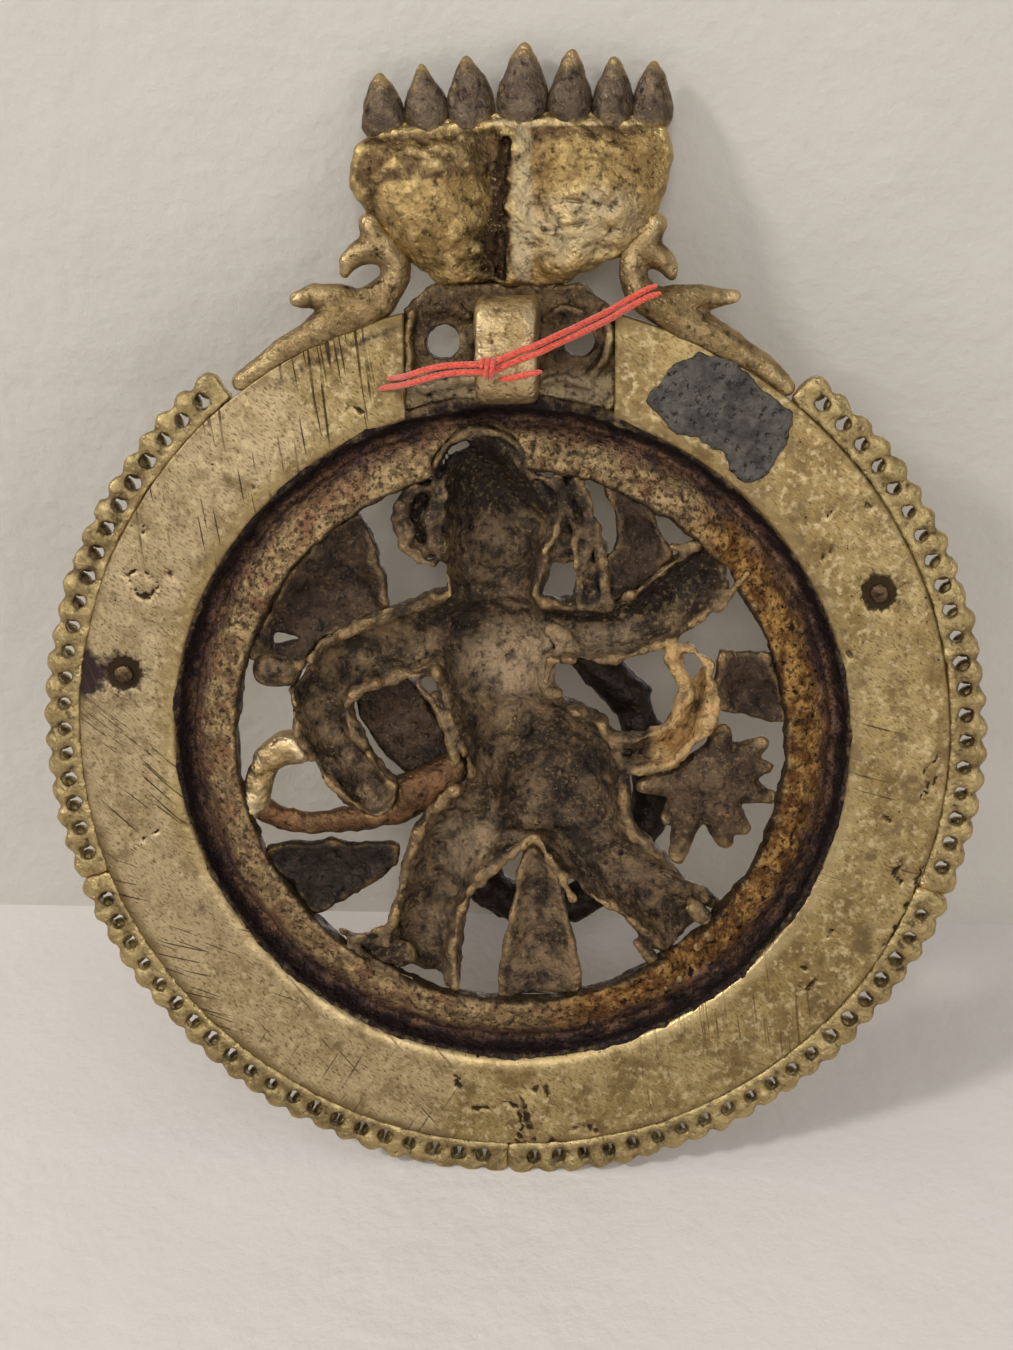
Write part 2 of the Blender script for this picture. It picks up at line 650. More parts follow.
CAST_LOOKS = {
    "rim": dict(
        name="rim_brass", body="9A8558", other="76623E", deep="2E2317", bright="C0AA78",
        dull=0.5, wear=(0.3, 0.9), blotch=12),
    "gold": dict(
        name="polished_brass", body="BBA276", other="9C8358", deep="5A4528", bright="DCC69C",
        dull=0.42, sheen=0.3, metal=0.95, wear=(0.2, 0.8)),
    "hood": dict(
        name="hood_brass", body="9C8253", other="7B623A", deep="3A2A18", bright="C4AA72",
        dull=0.45, sheen=0.3, metal=0.9, blotch=8, crust=0.35,
        tints=(("brown_top", "5E4930"), ("silvery", "AC9976"), ("dark_fold", "2E2014"))),
    "cobra": dict(
        name="dark_cobra_brass", body="6E5E4C", other="54463A", deep="2A2019", bright="B0966A",
        dull=0.52, sheen=0.36, metal=0.8, wear=(0.32, 0.9)),
    "bridge": dict(
        name="dark_bridge_brass", body="5C4930", other="3E2F20", deep="1B130D", bright="96805A",
        dull=0.5, wear=(0.35, 0.95), blotch=4, crust=0.4, tints=(("pale_floor", "8E7D60"),)),
    "figure": dict(
        name="earthy_brass", body="7C654A", other="35281C", deep="1C130D", bright="A88C62",
        dull=0.62, sheen=0.4, metal=0.55, wear=(0.42, 1.15), blotch=5, crust=1.0,
        tints=(("dusty", "A58E70"), ("shadowed", "2F241B"), ("golden", "C6A26C"))),
    "leaf": dict(
        name="dark_leaf_brass", body="4A392B", other="30241B", deep="150E0A", bright="947A55",
        dull=0.58, metal=0.7, wear=(0.5, 1.1), crust=0.5),
    "flower": dict(
        name="flower_brass", body="665039", other="443325", deep="1E140E", bright="A98E66",
        dull=0.6, sheen=0.42, metal=0.6, wear=(0.4, 1.1), crust=0.8),
    "bird": dict(
        name="bird_brass", body="97805A", other="7A6441", deep="3A2A18", bright="C2AA7C",
        dull=0.45, sheen=0.32, metal=0.9, wear=(0.25, 0.95)),
    "umber": dict(
        name="orange_brown_brass", body="77563A", other="59412C", deep="261A10", bright="A08256",
        dull=0.5, metal=0.85, wear=(0.4, 1.0)),
    "black": dict(
        name="blackened_brass", body="352B23", other="241D17", deep="0E0B09", bright="6B5636",
        dull=0.5, metal=0.8, wear=(0.55, 1.1)),
    "rivet": dict(
        name="brown_rivet_brass", body="594733", other="42332A", deep="1C1510", bright="8A7350",
        dull=0.45, metal=0.9, wear=(0.75, 1.25), blotch=2),
}
OTHER_LOOKS = {"plate": plate_finish, "trough": trough_finish, "solder": solder_finish,
               "thread": thread_finish}


@functools.cache
def finish(name):
    """One of the plaque's finishes, made when a piece first asks for it."""
    if name in CAST_LOOKS:
        return cast_finish(**CAST_LOOKS[name])
    return OTHER_LOOKS[name]()


# ------------------------------------------------------- settings to turn by hand

class ThreadSettings(PropertyGroup):
    strand: FloatProperty(
        name="Strand", description="Diameter of one strand of the thread", default=1.1 * MM,
        min=0.0008, max=0.0014, subtype="DISTANCE", unit="LENGTH")
    turns: FloatProperty(
        name="Turns", description="Turns of the strand's plies in each centimetre",
        default=4.0, min=0, max=8)


class RingSettings(PropertyGroup):
    opening: FloatProperty(
        name="Opening", description="Radius at the moulding's inner lip", default=46.6,
        min=44, max=50)
    filed_edge: FloatProperty(
        name="Filed Edge", description="Width of the rounded edge at the plate's opening",
        default=2.6, min=0.5, max=4)
    bead: FloatProperty(
        name="Bead", description="Diameter of a bead on the front of the rim", default=4.3,
        min=3, max=5.5)
    bead_ring: FloatProperty(
        name="Bead Ring", description="Radius of the circle that the beads lie on",
        default=77.45, min=70, max=80)
    beads: IntProperty(
        name="Beads", description="Number of beads on the front of the rim", default=84,
        min=10, max=120)
    first_bead: FloatProperty(
        name="First Bead", description="Where round the ring the beads begin",
        default=math.radians(128), subtype="ANGLE")
    arc: FloatProperty(
        name="Arc", description="How far round the ring the beads go",
        default=math.radians(284), subtype="ANGLE")
    plate_lap: FloatProperty(
        name="Plate Lap", description="How far the plate's filed edge laps over the moulding",
        default=1.4, min=0, max=2)
    hole: FloatProperty(
        name="Hole", description="Diameter of the holes between the beads", default=2.4,
        min=1, max=3)
    hole_ring: FloatProperty(
        name="Hole Ring", description="Radius of the circle that those holes lie on",
        default=76.3, min=70, max=80)
    plate_sink: FloatProperty(
        name="Plate Sink", description="How far the moulding's outer wall lies behind that edge",
        default=0.9, min=0, max=2)


class CastSettings(PropertyGroup):
    fine_step: FloatProperty(
        name="Fine Step", description="Size of the steps in which small castings are skinned",
        default=0.32, min=0.2, max=1)
    trough_step: FloatProperty(
        name="Trough Step", description="Size of the steps in which the moulding is skinned",
        default=0.42, min=0.3, max=1)
    figure_step: FloatProperty(
        name="Figure Step", description="Size of the steps in which the figure is skinned",
        default=0.46, min=0.3, max=1)
    patch_step: FloatProperty(
        name="Patch Step", description="Size of the steps in which the solder patch is skinned",
        default=0.26, min=0.2, max=1)


class StageSettings(PropertyGroup):
    lens: FloatProperty(
        name="Lens", description="The camera's focal length on a 36 mm high frame",
        default=48.0, min=20, max=120)
    eye: FloatVectorProperty(
        name="Eye", description="The camera's place, measured from the hanging eye",
        default=(16.4 * MM, -288.3 * MM, 13.95 * MM), subtype="TRANSLATION", unit="LENGTH")
    tilt: FloatProperty(
        name="Tilt", description="How far the camera looks down",
        default=math.radians(13.0), subtype="ANGLE")
    pan: FloatProperty(
        name="Pan", description="How far the camera looks to the left",
        default=math.radians(3.28), subtype="ANGLE")
    lean: FloatProperty(
        name="Lean", description="How far the plaque leans back against the wall",
        default=math.radians(19.8), subtype="ANGLE")
    wall_gap: FloatProperty(
        name="Wall Gap", description="Distance from the plaque's foot to the foot of the wall",
        default=72.2 * MM, subtype="DISTANCE", unit="LENGTH")
    wall: FloatVectorProperty(
        name="Wall Colour", description="Colour of the plastered wall", subtype="COLOR",
        default=(0.6, 0.565, 0.51), min=0, max=1)
    floor: FloatVectorProperty(
        name="Floor Colour", description="Colour of the floor", subtype="COLOR",
        default=(0.68, 0.635, 0.6), min=0, max=1)


class PlaqueSettings(PropertyGroup):
    thread: PointerProperty(type=ThreadSettings)
    ring: PointerProperty(type=RingSettings)
    cast: PointerProperty(type=CastSettings)
    stage: PointerProperty(type=StageSettings)


# --------------------------------------------------------------------- stage

class PLAQUE_OT_stage(Operator):
    """Stands the floor, the wall, the lamps and the camera round the plaque"""
    bl_idname = "plaque.stage"
    bl_label = "Stage"

    # Each lamp's name, place in metres, size, power and colour
    lamps = (
        ("window_light", (-0.85, -0.8, 0.6), 0.18, 7.5, (1, 0.98, 0.95)),
        ("front_light", (0.06, -1.3, 0.3), 0.4, 5.2, (1, 0.985, 0.965)),
        ("low_light", (0.5, -0.6, -0.1), 0.5, 0.8, (1, 0.96, 0.9)),
        ("top_light", (-0.2, -0.7, 1.1), 0.6, 1.0, (1, 0.99, 0.98)),
        ("far_light", (0.35, 1.2, 0.24), 0.7, 9, (1, 1, 1)))

    def execute(self, context):
        settings = context.scene.plaque.stage
        scene = context.scene
        scene.view_settings.view_transform = "Standard"
        self.camera(scene, settings)
        plaster, ground = ([*colour, 1] for colour in (settings.wall, settings.floor))
        along = np.array((0, math.cos(settings.lean), math.sin(settings.lean)))
        up = np.array((0, -math.sin(settings.lean), math.cos(settings.lean)))
        foot = np.array((0, 3 * MM, CAD_BOX[0][2]))
        corner = foot + settings.wall_gap * along
        side = np.array((2, 0, 0))
        self.sheet_of("floor", [foot - 2 * along - side, foot - 2 * along + side,
                                    corner + side, corner - side], ground)
        self.sheet_of("wall", [corner - side, corner + side, corner + 2 * up + side,
                                   corner + 2 * up - side], plaster)
        for lamp in self.lamps:
            self.hang(*lamp)
        self.world(scene)
        return {"FINISHED"}

    def camera(self, scene, settings):
        """A camera that looks a little down and to the left."""
        lens = bpy.data.cameras.new("camera")
        lens.sensor_fit = "VERTICAL"
        lens.sensor_height = 36
        lens.lens = settings.lens
        lens.clip_start = 0.01
        camera = bpy.data.objects.new("camera", lens)
        camera.location = settings.eye
        camera.rotation_euler = (math.pi / 2 - settings.tilt, 0, settings.pan)
        scene.collection.objects.link(camera)
        scene.camera = camera

    def sheet_of(self, name, corners, pale):
        """A plain pale sheet that is seen from its front only."""
        mesh = bpy.data.meshes.new(name)
        mesh.from_pydata(corners, [], [(0, 1, 2, 3)])
        surface = Finish(f"{name}_plaster", metallic=0.0, roughness=0.9)
        grey = surface.mix(surface.patches(40, 0.3, 0.7, 3),
                           pale, [c * 0.97 for c in pale[:3]] + [1])
        surface.raise_by(surface.spots(3, 4), 0.3)
        surface.raise_by(surface.spots(14, 3, shift=4), 0.8)
        surface.done(grey)
        tree = surface.tree
        behind = tree.nodes.new("ShaderNodeNewGeometry").outputs["Backfacing"]
        clear = tree.nodes.new("ShaderNodeBsdfTransparent")
        either = tree.nodes.new("ShaderNodeMixShader")
        tree.links.new(behind, either.inputs[0])
        tree.links.new(surface.shader.outputs[0], either.inputs[1])
        tree.links.new(clear.outputs[0], either.inputs[2])
        tree.links.new(either.outputs[0], tree.nodes["Material Output"].inputs["Surface"])
        mesh.materials.append(surface.material)
        sheet = bpy.data.objects.new(name, mesh)
        sheet.visible_shadow = name != "wall"         # the lamp behind it lights the relief
        bpy.context.scene.collection.objects.link(sheet)
        return sheet

    def hang(self, name, place, size, power, colour):
        """Hangs a square lamp, turned to the middle of the plaque."""
        light = bpy.data.lights.new(name, "AREA")
        light.size = size
        light.energy = power
        light.color = colour
        lamp = bpy.data.objects.new(name, light)
        lamp.location = place
        aim = Vector((0, 0, -0.06)) - Vector(place)
        lamp.rotation_euler = aim.to_track_quat("-Z", "Y").to_euler()
        bpy.context.scene.collection.objects.link(lamp)

    def world(self, scene):
        """Soft light from all round, and a pale background where the camera looks past it."""
        world = bpy.data.worlds.new("plain_light")
        world.use_nodes = True
        nodes, links = world.node_tree.nodes, world.node_tree.links
        plain = nodes["Background"]
        plain.inputs["Color"].default_value = (0.9, 0.92, 0.96, 1)
        plain.inputs["Strength"].default_value = 0.4
        seen = nodes.new("ShaderNodeBackground")
        seen.inputs["Color"].default_value = (0.82, 0.8, 0.77, 1)
        seen.inputs["Strength"].default_value = 1.0
        ray = nodes.new("ShaderNodeLightPath").outputs["Is Camera Ray"]
        either = nodes.new("ShaderNodeMixShader")
        links.new(ray, either.inputs[0])
        links.new(plain.outputs[0], either.inputs[1])
        links.new(seen.outputs[0], either.inputs[2])
        links.new(either.outputs[0], nodes["World Output"].inputs["Surface"])
        scene.world = world


# -------------------------------------------------------------------- thread

# Places along each strand, in millimetres from the hanging eye
UPPER_STRAND = [
    (-19.6, 4, -4.9), (-18.2, 2.4, -4.6), (-16.8, -0.2, -4.3), (-15, -2.6, -3.7),
    (-12.6, -3.8, -2.9), (-10, -4.9, -2.3), (-7.4, -5.9, -2), (-4.6, -6.3, -1.9),
    (-2, -6.3, -1.7), (0, -6.3, -0.8), (2.5, -6.3, 0.2), (5, -6.3, 1.1), (7.6, -5.3, 2.3),
    (10.4, -3.8, 3.5), (13, -2, 4.7), (16, 0.4, 6.1), (19, 2.4, 7.8), (22, 3.1, 9.4),
    (23.6, 3.1, 10)]
LOWER_STRAND = [
    (-21, 4, -6.5), (-19.4, 3, -6.1), (-17.4, 0.2, -5.7), (-15.2, -2.4, -5.1),
    (-12.6, -3.8, -4.3), (-10, -4.9, -3.6), (-7.4, -5.9, -3.2), (-4.6, -6.3, -3.1),
    (-2, -6.3, -3), (0, -6.3, -2.1), (2.5, -6.3, -1.1), (5, -6.3, -0.2), (7.6, -5.3, 1),
    (10.4, -4, 2.2), (13, -2.8, 3.4), (16, -0.6, 4.8), (19, 1.8, 6.5), (22, 3.1, 8.1),
    (24.2, 3.1, 8.8)]
TAIL = [(-1, -6.3, -4.2), (0.8, -6.3, -4), (2.6, -6.3, -3.6), (4.4, -6.3, -3.2),
        (5.8, -6.1, -3)]


def smooth_path(places, per_span=8):
    """A curve through a list of places, as many short steps."""
    p = np.array([places[0]] + list(places) + [places[-1]], float)
    t = np.linspace(0, 1, per_span, endpoint=False)[:, None]
    spans = [0.5 * (2 * p[i + 1] + (p[i + 2] - p[i]) * t
                    + (2 * p[i] - 5 * p[i + 1] + 4 * p[i + 2] - p[i + 3]) * t ** 2
                    + (3 * p[i + 1] - p[i] - 3 * p[i + 2] + p[i + 3]) * t ** 3)
             for i in range(len(p) - 3)]
    return np.vstack(spans + [p[-1:]])


def twisted_tube(name, path, radius, turns, finish_made, plies=3, sides=12, taper=0.6):
    """A strand of twisted plies swept along a path given from the hanging eye."""
    heading = np.gradient(path, axis=0)
    heading /= np.linalg.norm(heading, axis=1)[:, None]
    across = np.cross(heading, (0, 0, 1))
    across /= np.linalg.norm(across, axis=1)[:, None]
    up = np.cross(across, heading)
    run = np.concatenate([[0], np.cumsum(np.linalg.norm(np.diff(path, axis=0), axis=1))])
    rings = []
    for i, centre in enumerate(path):
        end = min(run[i], run[-1] - run[i])
        size = radius * (1 - taper * math.exp(-end / 0.6))
        angles = np.arange(sides) / sides * 2 * math.pi
        swell = 1 + 0.13 * np.cos(plies * (angles - run[i] / 10 * turns * 2 * math.pi))
        rings.append(centre + size * 0.9 * swell[:, None] * (
            np.cos(angles)[:, None] * across[i] + np.sin(angles)[:, None] * up[i]))
    points, faces = skin_over([r - RING for r in rings])
    return make_piece(name, points, [f[::-1] for f in faces], finish_made)


class PLAQUE_OT_thread(Operator):
    """Lays the knotted cotton thread over the hanging eye"""
    bl_idname = "plaque.thread"
    bl_label = "Thread"

    def execute(self, context):
        settings = context.scene.plaque.thread
        radius = settings.strand / MM / 2
        cotton = finish("thread")
        upper = smooth_path(UPPER_STRAND)
        lower = smooth_path(LOWER_STRAND)
        upper_strand = twisted_tube("upper_strand", upper, radius, settings.turns, cotton)
        lower_strand = twisted_tube("lower_strand", lower, radius, settings.turns, cotton)
        tail = twisted_tube("thread_end", smooth_path(TAIL), radius, settings.turns, cotton)
        wraps = self.knot(radius, cotton)
        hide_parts("thread_upper")
        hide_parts("thread_lower")
        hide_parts("thread_tail")
        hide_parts("thread_knot")
        return {"FINISHED"}

    def knot(self, radius, cotton):
        """A few turns of thread drawn tight round both strands."""
        low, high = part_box("thread_knot")
        middle = (np.array(low) + np.array(high)) / 2 / MM
        reach_y = high.y / MM - low.y / MM
        reach_z = (high.z - low.z) / MM / 2 - radius * 0.6
        turns = 2.4
        turn = np.linspace(0, turns * 2 * math.pi, 60)
        path = np.stack([middle[0] + (turn / turn[-1] - 0.5) * 2.0,
                         high.y / MM + 0.35 - np.cos(turn) * (reach_y - radius * 0.7),
                         middle[2] + np.sin(turn) * reach_z], axis=1)
        return twisted_tube("knot_turns", path, radius * 0.8, 3, cotton, sides=10)


# ---------------------------------------------------------------------- ring

def edge_round(depth, reach):
    """How far a rounded edge falls back at this distance from it."""
    t = np.clip(1 - depth / reach, 0, 1)
    return 1 - np.sqrt(1 - t * t)


def round_spot(x, z, place, radius):
    """1 in the middle of a spot and 0 well outside it."""
    return np.exp(-((x - place[0]) ** 2 + (z - place[1]) ** 2) / radius ** 2)


def on_arc(radius, degrees):
    """A place (x, z) on a circle round the middle of the ring."""
    return radius * math.cos(math.radians(degrees)), radius * math.sin(math.radians(degrees))


class PLAQUE_OT_ring_plate(Operator):
    """Files the flat ring plate, with its rounded inner edge, its dents and its cracks"""
    bl_idname = "plaque.ring_plate"
    bl_label = "Ring Plate"

    # Cracks as places (x, z) along each, and pits as x, z and a radius
    cracks = (
        ((-64, 28), (-61.5, 30), (-59.8, 28.6), (-59.2, 26), (-60.6, 24.4), (-62.6, 25.2),
         (-63.4, 27.2)),
        ((-63.4, -18.2), (-62, -17), (-61.2, -16.4)), ((-26.6, 55.4), (-25, 56.4), (-23.8, 55.2)),
        ((-62.8, 37), (-61, 35.6), (-60.4, 37.4)),
        ((71.4, -1), (69.6, -3), (70.2, -5.4), (69.2, -8.6), (71.2, -6.6), (71.8, -3.4)),
        ((50, -38.4), (52.6, -39), (53.6, -41), (52, -42.8), (49.8, -42.4)),
        ((70.6, -20.6), (68.2, -27), (64.8, -34.4)),
        ((66.8, -19.6), (65.4, -21.6), (66.4, -24.2)), ((55.6, -31), (54.4, -33.4)),
        ((51, 39), (53.4, 40.4)), ((-6.4, -66.4), (1.8, -66), (2.2, -74.2)),
        ((9.6, -70.6), (13.6, -69.4), (16.4, -71.2)), ((6.4, -66), (7.2, -62.4)),
        ((47.5, 62.2), (44.6, 64)), ((-9.6, -60.8), (-8.4, -62.6)))
    pits = ((-56.4, 28.5, 0.9), (-42.5, 43.2, 0.6), (-57, 19, 0.5), (-45, 49, 0.5),
            (56.5, 16, 0.5), (64, -12, 0.6), (66.5, -22.5, 0.9), (52, 33, 0.5),
            (4.4, -63.6, 0.8), (3.4, -70, 0.9), (8, -73, 0.8), (58, 41, 0.6))
    steps = 980                   # sections of the plate round the ring
    rivet_inset = 2.2             # from the rivets' box to the middles of their heads

    def execute(self, context):
        settings = context.scene.plaque.ring
        inner = SEAT_R - settings.plate_lap
        width = PLATE_R - inner
        across = np.concatenate([np.linspace(0, 3, 12), np.linspace(3.45, width - 0.6, 28),
                                 np.linspace(width - 0.4, width, 3)])
        rings = [self.profile(i / self.steps, inner, across, settings)
                 for i in range(self.steps + 1)]
        points, faces = skin_over(rings)
        marks, sunk = self.marks(points[:, 0], points[:, 2])
        back = ease(-points[:, 1], -1.6, -1)
        points[:, 1] += back * sunk
        plate = make_piece("filed_ring_plate", points, faces, finish("plate"),
                           self.shades(points, marks, settings))
        displace(plate, points, 14, 0.14, 3)
        displace(plate, points, 4.5, 0.06, 5)
        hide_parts("ring_plate")
        return {"FINISHED"}

    def rivets(self):
        """The middles of the two rivets, found at the two ends of their box."""
        low, high = in_ring("rivets")
        inset = self.rivet_inset
        return ((low[0] + inset, low[2] + inset), (high[0] - inset, high[2] - inset))

    def marks(self, x, z):
        """How dark each place is marked, and how far it is sunk."""
        ragged = rough(x, 0, z, 1.5, 61)
        bent_x = x + 0.7 * rough(x, 0, z, 1.6, 57)
        bent_z = z + 0.7 * rough(x, 0, z, 1.6, 58)
        marks = np.zeros_like(x)
        sunk = np.zeros_like(x)
        for line in self.cracks:
            near = np.exp(-(near_line(bent_x, bent_z, line) / (0.3 + 0.18 * ragged)) ** 2)
            near = near * ease(ragged, -0.9, 0)
            marks = np.maximum(marks, near)
            sunk = np.maximum(sunk, 0.5 * near)
        for a, b, size in self.pits:
            near = round_spot(bent_x, bent_z, (a, b), size)
            marks = np.maximum(marks, near)
            sunk = np.maximum(sunk, 0.45 * near)
        # The scar at the foot, where the casting's gate was broken off
        gate = np.exp(-((x - 5) / 3.6) ** 4 - ((z + 68) / 7) ** 4)
        marks = np.maximum(marks, gate * ease(rough(x, 0, z, 2.2, 63), 0.1, 0.6))
        sunk = sunk + gate * 0.3 * (0.4 + rough(x, 0, z, 2.4, 63))
        # A wavering seam near the left edge
        seam = near_line(x, z, ((-73, -6), (-72.4, 8), (-70.6, 18), (-66, 32), (-60, 44)))
        sunk = sunk + 0.12 * ease(-seam, -2.5, 0) * rough(x, 0, z, 3, 66)
        # Dark rings round the rivets, with smudges that run out from them
        for k, (a, b) in enumerate(self.rivets()):
            away = np.hypot(x - a, z - b)
            turn = np.arctan2(z - b, x - a)
            rays = grain(turn * 7, 0, away * 0.4, 1, 67 + k)
            ring = np.exp(-(np.maximum(away - 2.5, 0) / (0.8 + 0.5 * rays + 0.3 * ragged)) ** 2)
            reach = np.exp(-(np.maximum(away - 2.4, 0) / 3.4) ** 2) * ease(rays, 0.0, 0.5)
            marks = np.maximum(marks, np.maximum(0.95 * ring, 0.75 * reach))
            sunk = np.maximum(sunk, 0.3 * ring)
        # Shallow dents low on the left
        for degrees in np.arange(196, 262, 4.5):
            a, b = on_arc(62 + 6 * math.sin(degrees), degrees)
            sunk = sunk + 0.14 * round_spot(x, z, (a, b), 3.4)
        return np.clip(marks, 0, 1), sunk

    def shades(self, points, marks, settings):
        """Notes for the plate's finish: its marks, stains, pale parts and file strokes."""
        x, z = points[:, 0], points[:, 2]
        r = np.hypot(x, z)
        angle = np.degrees(np.arctan2(z, x)) % 360
        left_rivet = self.rivets()[0]
        inner = SEAT_R - settings.plate_lap

        def within(low, high):
            """1 between two angles in degrees, fading out past them."""
            return ease(angle, low - 5, low + 5) * ease(-angle, -high - 5, -high + 5)

        edge = ease(settings.filed_edge + 0.5 - (r - inner), 0, 1.8)
        upper_left = 0.5 * ease(-np.abs(r - 71), -2.6, 0) * within(96, 124)
        beside_rivet = 1.2 * round_spot(x, (z - left_rivet[1]) * 0.5,
                                        (left_rivet[0] - 6.6, 0), 2.2)
        on_rivet = 0.75 * round_spot(x, z, left_rivet, 5)
        by_bridge = 0.7 * ease(-np.abs(x), -24, -16) * ease(z, 52, 58)
        return {
            "marks": marks,
            "band": edge * (0.45 + 0.55 * within(290, 350)),
            "pale": within(120, 215) * ease(r, 57, 62) + 0.8 * within(205, 262),
            "patina": (0.75 * ease(r, PLATE_R - 3.5, PLATE_R + 0.5) + by_bridge
                       + 0.25 * within(190, 262)),
            "stain": np.clip(upper_left + beside_rivet + on_rivet, 0, 1),
            "upright_strokes": within(100, 152) + 0.6 * within(285, 322),
            "leaning_strokes": within(176, 197),
            "low_strokes": within(197, 232),
            "level_strokes": 0.8 * within(-24, 14) + 0.8 * within(336, 366),
            "cross_strokes": 0.8 * within(228, 262),
        }

    def profile(self, share, inner, across, settings):
        """One closed section of the plate, from its inner edge out and back again."""
        r = inner + across
        half_bridge = BRIDGE_W / 2
        first = math.pi / 2 + np.arcsin(half_bridge / r)
        last = math.pi / 2 - np.arcsin(half_bridge / r) + 2 * math.pi
        angle = first + (last - first) * share
        back = (settings.filed_edge * 0.5 * edge_round(across, settings.filed_edge)
                + 0.25 * edge_round(PLATE_R - r, 0.6))
        front = PLATE_T - 0.5 * edge_round(across, 0.6) - 0.5 * edge_round(PLATE_R - r, 0.6)
        back_run = np.stack([r * np.cos(angle), back, r * np.sin(angle)], axis=1)
        front_run = np.stack([r * np.cos(angle), front, r * np.sin(angle)], axis=1)
        keep = np.arange(len(r))[::3]
        return np.vstack([back_run, front_run[keep][::-1]])


class PLAQUE_OT_moulding(Operator):
    """Casts the hollow moulding as a trough with a ragged inner lip and metal spatter"""
    bl_idname = "plaque.moulding"
    bl_label = "Moulding"

    # Where the dancer's raised hand and feet break into the lip: two places and a radius
    breaks = (((35.4, 0.2, 28.6), (39.6, 0.2, 33.6), 2.9), ((28.2, 0.4, -34.5), (33, 0.4, -40), 3.1),
              ((-23.6, 0.2, -40.4), (-20.6, 0.2, -43.6), 1.7))
    # Drops of metal on the lip and in the groove: x, y, z and a radius
    drips = ((36, 0.4, -31, 1.3), (34.4, 0, -33.4, 1.5), (32.6, 0.2, -35.6, 1.2),
             (37.4, 0.8, -29.4, 1.0), (-28, 1.2, 40.4, 0.8), (-37, 1.5, -33.6, 0.8),
             (46.6, 1.6, -15.6, 0.9), (12.4, 0.3, 45.8, 1.3), (17, 0.6, 44.4, 1.1),
             (-13.6, 0.6, 45.6, 1.2))

    def execute(self, context):
        plaque = context.scene.plaque
        settings = plaque.ring
        trough = Casting(["inner_moulding"], plaque.cast.trough_step)
        x, y, z = trough.x, trough.y, trough.z
        r = np.hypot(x, z)
        trough.cut(np.maximum(SEAT_R - settings.plate_lap - 0.9 - r, y - settings.plate_sink))
        inner = ease(-r, -settings.opening - 7, -settings.opening - 4)
        right = ease(x, 20, 34)
        # A rounded roll of metal on the inner half, which leaves room for the dancer's head
        from_lip = r - settings.opening
        trough.add(functools.reduce(np.maximum, (
            0.5 + 0.075 * np.maximum(from_lip - 1, 0) ** 2 - y, settings.opening + 0.3 - r,
            from_lip - 7.5, y - 4.4, 9 - np.hypot(x + 4.4, z - 44.2))))
        trough.grow(0.15)
        trough.gnarl(6, 0.3, 21)
        trough.gnarl(2.4, 0.42, 22, inner * (0.7 + 0.5 * right))
        torn = (-0.15 + 1.1 * np.maximum(rough(x, 0, z, 3.4, 24), -0.2)
                + 0.3 * rough(x, 0, z, 1.2, 25))
        trough.metal = np.where(r < settings.opening + 3.4,
                                np.maximum(trough.metal, torn - y), trough.metal)
        for first, last, radius in self.breaks:
            trough.strand([first, last], radius, sunk=True)
        for a, b, c, radius in self.drips:
            trough.lump((a, b, c), radius, 0.8)
        trough.soften(0.42)
        width = SEAT_R - settings.opening
        piece = trough.pour(
            "moulding_trough", finish("trough"), skin=((3, 0.22), (1.2, 0.16)), seed=26,
            notes={"across": lambda a, b, c: (np.hypot(a, c) - settings.opening) / width,
                   "right": lambda a, b, c: ease(0.95 * a - 0.25 * c, 4, 36)})
        self.spatter(piece)
        return {"FINISHED"}

    def spatter(self, trough):
        """Small beads of metal thrown into the trough while it was cast."""
        tree = spatter_tree()
        beads = bpy.data.objects.new("spatter_maker", trough.data)
        bpy.context.scene.collection.objects.link(beads)
        set_inputs(beads.modifiers.new("spatter", "NODES"), tree, {
            "Thickness": 0.42 * MM, "Crowding": 5200.0, "Finish": finish("trough")})
        piece = plain_mesh(beads, "trough_spatter")
        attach(piece, "root")


# -------------------------------------------------------------- node-built pieces

def new_tree(name, inputs):
    """An empty geometry tree with a geometry input, named sizes and a geometry output."""
    tree = bpy.data.node_groups.new(name, "GeometryNodeTree")
    tree.interface.new_socket("Geometry", in_out="INPUT", socket_type="NodeSocketGeometry")
    for label, kind in inputs:
        tree.interface.new_socket(label, in_out="INPUT", socket_type=kind)
    tree.interface.new_socket("Geometry", in_out="OUTPUT", socket_type="NodeSocketGeometry")
    source = tree.nodes.new("NodeGroupInput")
    result = tree.nodes.new("NodeGroupOutput")
    return tree, source, result


def link(tree, source, node, key):
    """Joins an output to an input, or writes a plain value in it."""
    if isinstance(source, bpy.types.NodeSocket):
        tree.links.new(source, node.inputs[key])
    else:
        node.inputs[key].default_value = source
    return node


def maths(tree, operation, a, b):
    """A Math node's result, in a geometry tree."""
    node = tree.nodes.new("ShaderNodeMath")
    node.operation = operation
    link(tree, a, node, 0)
    link(tree, b, node, 1)
    return node.outputs[0]


def on_points(tree, points, ball, smallest, largest, seed):
    """Sets a ball on every point, each one a little smaller or larger."""
    size = tree.nodes.new("FunctionNodeRandomValue")
    link(tree, smallest, size, 2)
    link(tree, largest, size, 3)
    link(tree, seed, size, "Seed")
    placed = link(tree, points, tree.nodes.new("GeometryNodeInstanceOnPoints"), "Points")
    link(tree, ball, placed, "Instance")
    link(tree, size.outputs[1], placed, "Scale")
    return placed.outputs[0]


